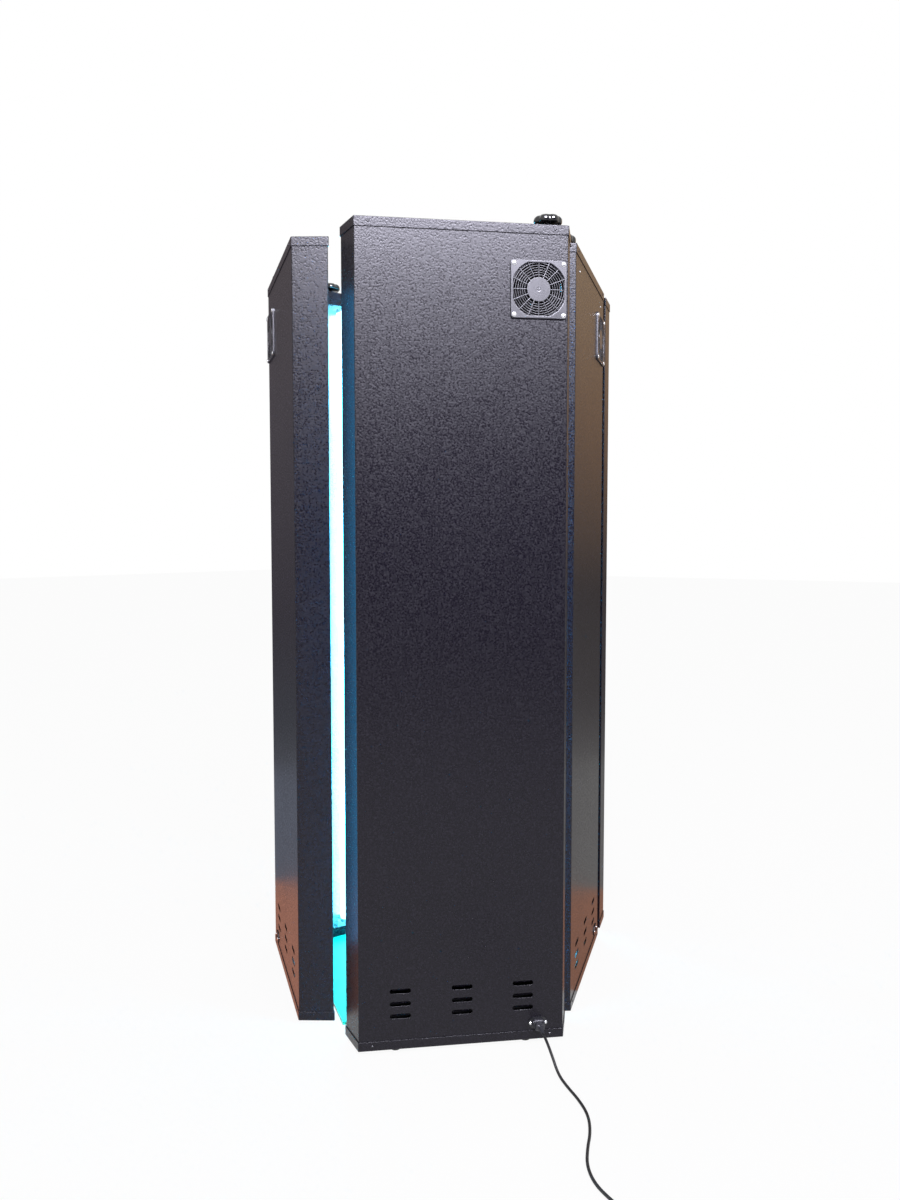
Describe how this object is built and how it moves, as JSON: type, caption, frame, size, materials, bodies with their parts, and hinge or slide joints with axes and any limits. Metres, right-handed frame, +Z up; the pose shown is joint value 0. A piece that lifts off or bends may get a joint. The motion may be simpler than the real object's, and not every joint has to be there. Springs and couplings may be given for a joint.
{
  "type": "vertical tanning booth",
  "caption": "Upright tanning booth: a ring of black sheet-steel lamp cabinets linked by plates and hand knobs, with swinging entrance wings, cooling fans and a mains lead.",
  "frame": {"origin": "middle of the standing space, on the floor under the floor board", "axes": "+Z up; the entrance between the two wings faces -Y; +X to the right of a person looking in at the entrance"},
  "size_m": [1.4976, 1.4131, 2.1156],
  "materials": {
    "powder_coat": "textured black powder coat",
    "lamp_glass": "phosphor-coated tube, lit",
    "holder_plastic": "moulded",
    "reflector_sheet": "polished sheet",
    "clear_acrylic": "clear cast sheet",
    "gear_steel": "plain",
    "fan_plastic": "moulded",
    "guard_plastic": "moulded, satin",
    "inlet_plastic": "moulded",
    "glide_rubber": "matt",
    "bright_screw": "bright zinc",
    "knob_plastic": "moulded, glossy",
    "link_steel": "black powder coat",
    "board": "pale laminate",
    "lead_rubber": "matt sheath",
    "plug_plastic": "moulded"
  },
  "bodies": {
    "root": {"bottom_cap_ring": "powder_coat", "bottom_link_plates": "link_steel", "casing_back": "powder_coat", "casing_left_side": "powder_coat", "casing_right_side": "powder_coat", "control_gear_ring": "gear_steel", "fan_frame_ring": "fan_plastic", "fan_guard_ring": "guard_plastic", "fasteners_ring": "bright_screw", "floor_board": "board", "glides_ring": "glide_rubber", "inlet_ring": "inlet_plastic", "lamp_holders_ring": "holder_plastic", "lamps_ring": "lamp_glass", "reflector_ring": "reflector_sheet", "screen_ring": "clear_acrylic", "top_cap_back": "powder_coat", "top_cap_left_side": "powder_coat", "top_cap_right_side": "powder_coat", "top_link_plates": "link_steel"},
    "right_wing": {"bottom_cap_right_wing": "powder_coat", "casing_right_wing": "powder_coat", "control_gear_right_wing": "gear_steel", "fan_frame_right_wing": "fan_plastic", "fan_guard_right_wing": "guard_plastic", "fasteners_right_wing": "bright_screw", "glides_right_wing": "glide_rubber", "inlet_right_wing": "inlet_plastic", "lamp_holders_right_wing": "holder_plastic", "lamps_right_wing": "lamp_glass", "lead_coil": "lead_rubber", "lead_connector": "plug_plastic", "mains_plug": "plug_plastic", "reflector_right_wing": "reflector_sheet", "screen_right_wing": "clear_acrylic", "supply_lead": "lead_rubber", "top_cap_right_wing": "powder_coat"},
    "left_wing": {"bottom_cap_left_wing": "powder_coat", "casing_left_wing": "powder_coat", "control_gear_left_wing": "gear_steel", "fan_frame_left_wing": "fan_plastic", "fan_guard_left_wing": "guard_plastic", "fasteners_left_wing": "bright_screw", "glides_left_wing": "glide_rubber", "inlet_left_wing": "inlet_plastic", "lamp_holders_left_wing": "holder_plastic", "lamps_left_wing": "lamp_glass", "reflector_left_wing": "reflector_sheet", "screen_left_wing": "clear_acrylic", "top_cap_left_wing": "powder_coat"},
    "hand_knob_left_side": {"hand_knob_left_side": "knob_plastic"},
    "hand_knob_left_wing": {"hand_knob_left_wing": "knob_plastic"},
    "hand_knob_right_side": {"hand_knob_right_side": "knob_plastic"},
    "hand_knob_right_wing": {"hand_knob_right_wing": "knob_plastic"},
    "fan_rotor_back": {"fan_rotor_back": "fan_plastic"},
    "fan_rotor_left_side": {"fan_rotor_left_side": "fan_plastic"},
    "fan_rotor_left_wing": {"fan_rotor_left_wing": "fan_plastic"},
    "fan_rotor_right_side": {"fan_rotor_right_side": "fan_plastic"},
    "fan_rotor_right_wing": {"fan_rotor_right_wing": "fan_plastic"}
  },
  "joints": [
    {"name": "right_wing_swing", "type": "hinge", "parent": "root", "child": "right_wing", "pos_m": [0.45933, -0.25282, 0], "axis": [0, 0, 1], "range_deg": [-7, 88.5]},
    {"name": "left_wing_swing", "type": "hinge", "parent": "root", "child": "left_wing", "pos_m": [-0.45933, -0.25282, 0], "axis": [0, 0, -1], "range_deg": [-2, 93.5]},
    {"name": "hand_knob_left_side_turn", "type": "hinge", "parent": "root", "child": "hand_knob_left_side", "pos_m": [-0.41849, -0.0985, 2.0856], "axis": [0, 0, 1], "continuous": true},
    {"name": "hand_knob_left_wing_turn", "type": "hinge", "parent": "left_wing", "child": "hand_knob_left_wing", "pos_m": [-0.45933, -0.25282, 2.0856], "axis": [0, 0, 1], "continuous": true},
    {"name": "hand_knob_right_side_turn", "type": "hinge", "parent": "root", "child": "hand_knob_right_side", "pos_m": [0.41849, -0.0985, 2.0856], "axis": [0, 0, 1], "continuous": true},
    {"name": "hand_knob_right_wing_turn", "type": "hinge", "parent": "right_wing", "child": "hand_knob_right_wing", "pos_m": [0.45933, -0.25282, 2.0856], "axis": [0, 0, 1], "continuous": true},
    {"name": "fan_back_spin", "type": "hinge", "parent": "root", "child": "fan_rotor_back", "pos_m": [-0.19, 0.50752, 1.921], "axis": [0, 1, 0], "continuous": true},
    {"name": "fan_left_side_spin", "type": "hinge", "parent": "root", "child": "fan_rotor_left_side", "pos_m": [-0.32225, 0.30448, 1.921], "axis": [-0.9511, 0.309, 0], "continuous": true},
    {"name": "fan_left_wing_spin", "type": "hinge", "parent": "left_wing", "child": "fan_rotor_left_wing", "pos_m": [-0.45364, -0.29914, 1.921], "axis": [-0.6157, -0.788, 0], "continuous": true},
    {"name": "fan_right_side_spin", "type": "hinge", "parent": "root", "child": "fan_rotor_right_side", "pos_m": [0.32225, 0.30448, 1.921], "axis": [0.9511, 0.309, 0], "continuous": true},
    {"name": "fan_right_wing_spin", "type": "hinge", "parent": "right_wing", "child": "fan_rotor_right_wing", "pos_m": [0.4577, -0.29946, 1.921], "axis": [0.682, -0.7314, 0], "continuous": true}
  ]
}
